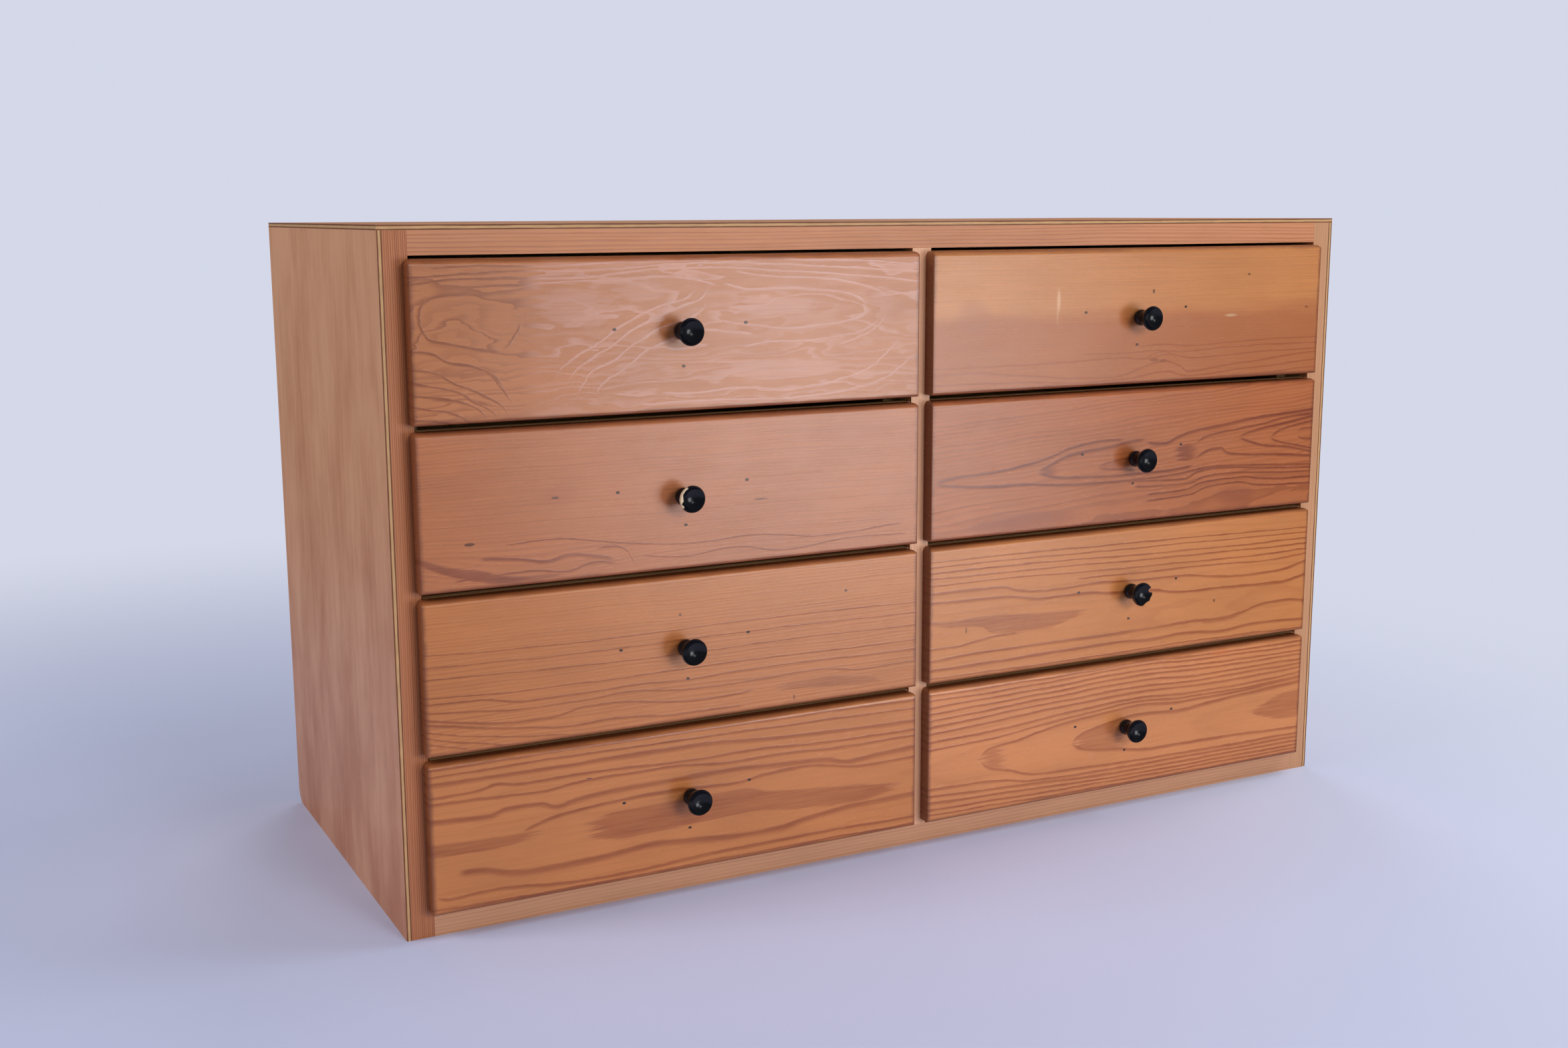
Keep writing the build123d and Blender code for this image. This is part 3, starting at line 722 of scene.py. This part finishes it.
def bare_material(name, order, middle, seed):
    """Planed pine used inside; the rings run through all the pieces' places."""
    tree = Tree(name)
    rings = dict(pith=(-30, 80), ring=4.2, wave=(6, 160, 40), lean=(0.02, 0.03))
    return bare_pine(tree, board_place(tree, middle, order), rings, seed)


REAR_MIDDLE = 268.0      # height of the rear frame's middle
REAR_RAIL_INNER = 250.0  # from there to the rails' inner edges
REAR_POST_INNER = 434.0  # from the centre to the outer posts' inner edges


def rear_frame_material():
    """Bare pine whose grain follows the posts, and in the two rails follows the rails."""
    tree = Tree("pine_rear_frame")
    x, y, z = tree.parts(tree.place())
    middle_height = tree.math("ABSOLUTE", tree.sub(z, REAR_MIDDLE))
    in_rail = tree.mul(
        tree.math("GREATER_THAN", middle_height, REAR_RAIL_INNER),
        tree.math("LESS_THAN", tree.math("ABSOLUTE", x), REAR_POST_INNER),
    )
    in_post = tree.sub(1.0, in_rail)
    u = tree.add(tree.mul(x, in_rail), tree.mul(z, in_post))
    v = tree.add(tree.mul(z, in_rail), tree.mul(x, in_post))
    rings = dict(pith=(-120, 70), ring=3.4, wave=(4, 160, 40))
    return bare_pine(tree, (u, v, y), rings, 61)


PLY_SKIN, PLY_CORE = srgb(120, 72, 42), srgb(205, 160, 112)
PLY = 4.0


def plywood_material(name, middle, order, veneer, shadow, seed, varnish=True, flip=False,
                     painted_shade_slope=0.0):
    """Thin plywood: a blotchy veneer with faint grain on its faces, and plies along its edges.
    Its last argument is how much darker the veneer gets with each millimetre down its grain:
    painted shade, the top lit more than the bottom."""
    tree = Tree(name)
    u, v, w = board_place(tree, middle, order)
    if flip:
        w = tree.mul(w, -1.0)
    point = tree.vector(u, v, w)
    rings = dict(pith=(-60, 40), ring=9.0, wave=(16, 200, 60), band=(0.2, 1.0), edge=0.5, fray=0.6)
    figure = growth(tree, (u, v, w), rings, seed)
    cloud = tree.noise(tree.grained(point, 130, 60, seed + 1), detail=4.0, roughness=0.6)
    flow = tree.noise(tree.grained(point, 90, 7, seed + 2), detail=3.0)
    fibre = tree.noise(tree.grained(point, 14, 0.5, seed + 3), detail=3.0)
    # Painted shade: the veneer is made darker down its grain, lighter at the top as if lit from
    # above, on top of its own blotches.
    dark = tree.mul_add(u, -painted_shade_slope, tree.mul_add(flow, 0.35, cloud))
    colour = tree.mix(tree.mul(tree.step(dark, -1.1, 1.3), 0.9), veneer, shadow)
    colour = tree.shade(colour, tree.mul_add(fibre, 0.035, tree.mul(figure, -0.06)))
    edge = tree.plateau(w, 0.02, 0.08, PLY - 0.08, PLY - 0.02)
    ragged = tree.mul_add(tree.noise(tree.grained(point, 20, 3, seed + 4)), 0.25, w)
    plies = tree.mix(tree.plateau(ragged, 1.0, 1.3, 2.8, 3.1), PLY_SKIN, PLY_CORE)
    plies = tree.shade(plies, tree.mul(tree.noise(tree.grained(point, 10, 4, seed + 5), 3.0), 0.15))
    colour = tree.mix(edge, colour, plies)
    roughness = tree.mul_add(cloud, 0.05, 0.42 if varnish else 0.6)
    tree.shader.inputs["Specular IOR Level"].default_value = 0.3
    return tree.finish(colour, roughness, tree.bump(fibre, 0.18, GRAIN_DEPTH))


# ------------------------------------------------------------------ knobs
PAINT, RUBBED_PAINT = srgb(10, 11, 18), srgb(30, 30, 38)
CHIP = srgb(232, 208, 172)
CHIP_TURNS = (-1.2, -1.05, 0.6, 0.72)    # where the chip lies along the rim
DEEP_TURNS = (-0.55, -0.1, 0.2, 0.3)     # the part of it that reaches furthest into the dish
SHALLOW_TURNS = (0.2, 0.3, 0.4, 0.5)     # the part that stays nearest to the rim
CHIP_RADIUS, DEEPER, SHALLOWER = 9.2, -1.9, 0.9
BARE_BEHIND = (-193.0, -195.0)   # the chip fades out between these depths behind the rim


def paint_chip(tree, point, knob):
    """1 where a knob has lost its paint along the left of its rim. Turns are measured in radians
    from the rim's leftmost point, downwards."""
    middle = (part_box(knob)[0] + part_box(knob)[1]) * 500
    x, y, z = tree.parts(point)
    across, up = tree.sub(x, middle[0]), tree.sub(z, middle[2])
    turn = tree.math("ARCTAN2", tree.sub(0.0, up), tree.mul(across, -1.0))
    radius = tree.math("SQRT", tree.mul_add(across, across, tree.mul(up, up)))
    ragged = tree.mul_add(tree.noise(tree.grained(point, 2.2, 2.2, 8), detail=3.0), 0.5, radius)
    inner = tree.mul_add(tree.plateau(turn, *DEEP_TURNS), DEEPER, CHIP_RADIUS)
    inner = tree.mul_add(tree.plateau(turn, *SHALLOW_TURNS), SHALLOWER, inner)
    bare = tree.step(tree.sub(ragged, inner), -0.12, 0.12)
    bare = tree.mul(bare, tree.plateau(turn, *CHIP_TURNS))
    return tree.mul(bare, tree.step(y, *BARE_BEHIND))


def knob_material(name, chipped=None):
    """Black paint with rubbed spots. chipped names a knob that has lost paint along its rim."""
    tree = Tree(name)
    point = tree.place()
    scuff = tree.noise(tree.grained(point, 3.0, 3.0, 3), detail=4.0)
    rubbed = tree.step(scuff, 0.35, 0.9)
    colour = tree.mix(tree.mul(rubbed, 0.35), PAINT, RUBBED_PAINT)
    roughness = tree.mul_add(rubbed, 0.12, 0.2)
    height = scuff
    if chipped:
        bare = paint_chip(tree, point, chipped)
        colour = tree.mix(bare, colour, CHIP)
        roughness = tree.mul_add(bare, 0.4, roughness)
        height = tree.mul_add(bare, -4.0, scuff)
    tree.shader.inputs["Specular IOR Level"].default_value = 0.35
    return tree.finish(colour, roughness, tree.bump(height, 0.08, 0.0002))


# ------------------------------------------------------------------ what each node wears
ORIGIN = Vector((0, 0, 0))
FINE_RINGS = dict(pith=(-300, 60), ring=1.5, wave=(1.0, 260, 60), band=(0.35, 0.9), fray=0.1)
PLAIN_RINGS = dict(pith=(-260, 60), ring=3.0, wave=(2, 240, 50), band=(0.4, 0.95))
# Frame members: node, order of axes, rings, earlywood, latewood, seed, strength of the rings.
MEMBERS = (
    ("left_stile", "zxy", FINE_RINGS, srgb(190, 118, 74), srgb(112, 50, 30), 51, 0.8),
    ("right_stile", "zxy", PLAIN_RINGS, srgb(200, 146, 106), srgb(160, 96, 62), 52, 0.35),
    # The centre stile's colours are lighter than the other members': a painted sheen, lighter wood
    # standing in for the lamps' reflection.
    ("centre_stile", "zxy", PLAIN_RINGS, srgb(232, 176, 138), srgb(176, 112, 82), 53, 0.35),
    ("top_rail", "xzy", PLAIN_RINGS, srgb(206, 138, 96), srgb(146, 74, 48), 54, 0.6),
    ("bottom_rail", "xzy", PLAIN_RINGS, srgb(204, 148, 110), srgb(160, 96, 62), 55, 0.5),
)
SIDE_VENEER = (srgb(228, 168, 128), srgb(178, 108, 70))
BACK_VENEER = (srgb(206, 168, 122), srgb(186, 140, 96))
BOTTOM_VENEER = (srgb(214, 182, 138), srgb(192, 150, 104))
# How much darker the side panels are painted with each millimetre down: painted shade, lighter at
# the top as if lit from above.
SIDE_PAINTED_SHADE = 0.0022


def dress(node, material):
    """Gives a CAD node a material in place of the one it came with."""
    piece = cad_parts[node]
    for place in piece.material_slots:
        place.material = material
    if not piece.material_slots:
        piece.data.materials.append(material)


def dress_drawers():
    knob = knob_material("knob_paint")
    chipped_knob = knob_material("knob_paint_chipped", "drawer_left_2_knob")
    box_side = bare_material("pine_box_side", "yzx", ORIGIN, 41)
    box_back = bare_material("pine_box_back", "xzy", Vector((0, 160, 0)), 43)
    bottom = plywood_material("plywood_bottom", ORIGIN, "xyz", *BOTTOM_VENEER, 47, varnish=False)
    for drawer, look in FRONTS.items():
        dress(f"drawer_{drawer}_front", front_material(drawer, look))
        dress(f"drawer_{drawer}_knob", chipped_knob if drawer == "left_2" else knob)
        dress(f"drawer_{drawer}_bottom", bottom)
        dress(f"drawer_{drawer}_back", box_back)
        for side in ("left", "right"):
            dress(f"drawer_{drawer}_{side}_side", box_side)


def dress_cabinet():
    for node, *look in MEMBERS:
        dress(node, member_material(f"pine_{node}", node, *look))
    dress("rear_frame", rear_frame_material())
    runner = bare_material("pine_runner", "yzx", ORIGIN, 57)
    dress("side_runners", runner)
    dress("centre_runners", runner)
    dress("left_side_panel", plywood_material(
        "plywood_left_side", face_middle("left_side_panel", "zyx"), "zyx", *SIDE_VENEER, 71,
        painted_shade_slope=SIDE_PAINTED_SHADE))
    dress("right_side_panel", plywood_material(
        "plywood_right_side", face_middle("right_side_panel", "zyx", "high"), "zyx", *SIDE_VENEER,
        73, flip=True, painted_shade_slope=SIDE_PAINTED_SHADE))
    dress("top_panel", plywood_material(
        "plywood_top", face_middle("top_panel", "xyz", "high"), "xyz", *SIDE_VENEER, 77, flip=True))
    dress("back_panel", plywood_material(
        "plywood_back", face_middle("back_panel", "xzy", "high"), "xzy", *BACK_VENEER, 79,
        varnish=False, flip=True))


# ------------------------------------------------------------------ stage, light and camera
FLOOR_COLOUR, BACKDROP = srgb(212, 219, 252), srgb(212, 216, 232)
# The fade's middle lies left of the chest, so the floor gives way to the bright backdrop sooner on
# the right: painted light, the right of the floor brighter than the left.
FADE_LEFT = 450.0            # the floor fades round a point this far left of the chest's middle,
FADE = (450.0, 1700.0)       # from the first of these distances to the second
ROOM_COLOUR, ROOM_LIGHT = (0.95, 0.97, 1.0, 1), 0.17
# Lamps: name, place, target, size, power, colour, and whether it shows in reflections.
COOL, NEUTRAL = (0.97, 0.98, 1.0), (1, 1, 1)
LAMPS = (
    ("key", (0.3, -3.0, 1.15), (0.0, -0.15, 0.3), 0.9, 23, (1.0, 0.985, 0.97), False),
    ("glint", (0.3, -2.98, 1.15), (0.0, -0.15, 0.3), 0.45, 5, COOL, True),
    ("window", (1.25, -2.66, 0.2), (-0.1, -0.18, 0.4), 1.15, 26, COOL, True),
    ("fill_left", (-2.8, 0.1, 2.0), (-0.45, 0.0, 0.45), 1.6, 42, (0.98, 0.98, 1.0), False),
    ("fill_right", (1.5, -0.45, 1.7), (0.6, -0.45, 0.0), 1.2, 20, COOL, False),
    ("fill_back", (1.2, 2.8, 1.8), (0.0, 0.2, 0.2), 1.6, 26, NEUTRAL, False),
)


def floor():
    """Plain pale floor that fades into the backdrop well away from the chest."""
    size = 30.0
    mesh = bpy.data.meshes.new("floor")
    corners = [(-size, -size, 0), (size, -size, 0), (size, size, 0), (-size, size, 0)]
    mesh.from_pydata(corners, [], [(0, 1, 2, 3)])
    piece = bpy.data.objects.new("floor", mesh)
    bpy.context.scene.collection.objects.link(piece)
    tree = Tree("pale_laminate")
    speck = tree.noise(tree.grained(tree.place(), 1.6, 1.6, 5), detail=3.0)
    cloud = tree.noise(tree.grained(tree.place(), 160, 160, 6), detail=3.0)
    tone = tree.mul_add(speck, 0.012, tree.mul(cloud, 0.012))
    colour = tree.shade(FLOOR_COLOUR, tone)
    mesh.materials.append(tree.finish(colour, 0.5, tree.bump(speck, 0.05, 0.0002)))
    x, y, z = tree.parts(tree.place())
    x = tree.add(x, FADE_LEFT)
    distance = tree.math("SQRT", tree.mul_add(x, x, tree.mul(y, y)))
    fade = tree.nodes.new("ShaderNodeMixShader")
    clear = tree.nodes.new("ShaderNodeBsdfTransparent")
    tree.put(fade.inputs[0], tree.step(distance, *FADE))
    tree.links.new(tree.shader.outputs[0], fade.inputs[1])
    tree.links.new(clear.outputs[0], fade.inputs[2])
    tree.links.new(fade.outputs[0], tree.out.inputs["Surface"])


def lamp(name, place, target, size, power, colour, glossy):
    """A square soft lamp that looks at a target."""
    light = bpy.data.lights.new(name, "AREA")
    light.shape = "SQUARE"
    light.size = size
    light.energy = power
    light.color = colour
    piece = bpy.data.objects.new(name, light)
    piece.location = place
    piece.rotation_euler = (Vector(target) - Vector(place)).to_track_quat("-Z", "Y").to_euler()
    piece.visible_glossy = glossy
    bpy.context.scene.collection.objects.link(piece)


def room():
    """Dim even light from all round, and the backdrop that the camera sees behind the floor."""
    world = bpy.data.worlds.new("soft_room")
    bpy.context.scene.world = world
    world.use_nodes = True
    nodes, links = world.node_tree.nodes, world.node_tree.links
    nodes.clear()
    out = nodes.new("ShaderNodeOutputWorld")
    around = nodes.new("ShaderNodeBackground")
    around.inputs["Color"].default_value = ROOM_COLOUR
    around.inputs["Strength"].default_value = ROOM_LIGHT
    seen = nodes.new("ShaderNodeBackground")
    seen.inputs["Color"].default_value = BACKDROP
    seen.inputs["Strength"].default_value = 1.0
    pick = nodes.new("ShaderNodeMixShader")
    ray = nodes.new("ShaderNodeLightPath")
    links.new(ray.outputs["Is Camera Ray"], pick.inputs[0])
    links.new(around.outputs[0], pick.inputs[1])
    links.new(seen.outputs[0], pick.inputs[2])
    links.new(pick.outputs[0], out.inputs["Surface"])


def camera():
    """The photograph's viewpoint, found by fitting the chest's corners and knobs."""
    view = Vector((0.45416, 0.87340, -0.17580)).normalized()
    up = Vector((0.08439, 0.15426, 0.98442))
    right = view.cross(up).normalized()
    up = right.cross(view)
    lens = bpy.data.cameras.new("camera")
    lens.sensor_width = 36.0
    lens.lens = 40.15
    lens.clip_start, lens.clip_end = 0.05, 100
    piece = bpy.data.objects.new("camera", lens)
    turned = Matrix((right, up, -view)).transposed()
    piece.matrix_world = Matrix.Translation((-0.7805, -1.4208, 0.5480)) @ turned.to_4x4()
    bpy.context.scene.collection.objects.link(piece)
    bpy.context.scene.camera = piece
    bpy.context.scene.view_settings.view_transform = "Standard"


dress_drawers()
dress_cabinet()
floor()
for lamp_row in LAMPS:
    lamp(*lamp_row)
room()
camera()
